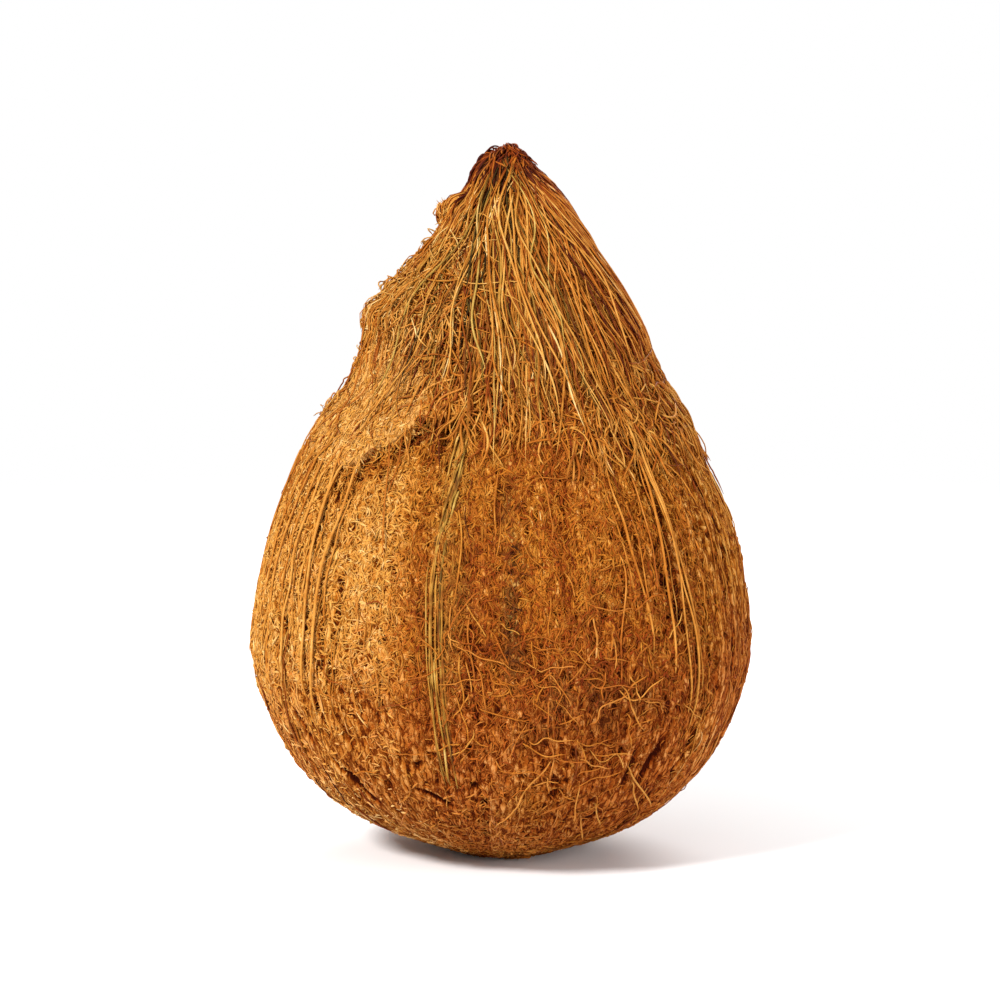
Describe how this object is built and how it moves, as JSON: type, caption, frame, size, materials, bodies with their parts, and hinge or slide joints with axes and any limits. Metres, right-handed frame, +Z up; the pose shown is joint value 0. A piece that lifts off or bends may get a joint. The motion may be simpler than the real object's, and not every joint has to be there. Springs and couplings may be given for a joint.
{
  "type": "semi-husked coconut",
  "caption": "Round coconut in a skin of coir, with the coir above it left long and gathered into a pointed crest; stands on a small flat spot.",
  "frame": {"origin": "middle of the footprint, on the surface that the fruit stands on", "axes": "+Z up from the flat spot to the tip of the crest; -Y is the front, +X the front's right"},
  "size_m": [0.1156, 0.1148, 0.1635],
  "materials": {
    "coir_husk": "dry matted coir, matt, golden brown to rust",
    "coir_fibre": "long loose coir fibres, straw to golden brown, faint sheen"
  },
  "bodies": {
    "root": {"coconut": "coir_husk"}
  },
  "joints": []
}
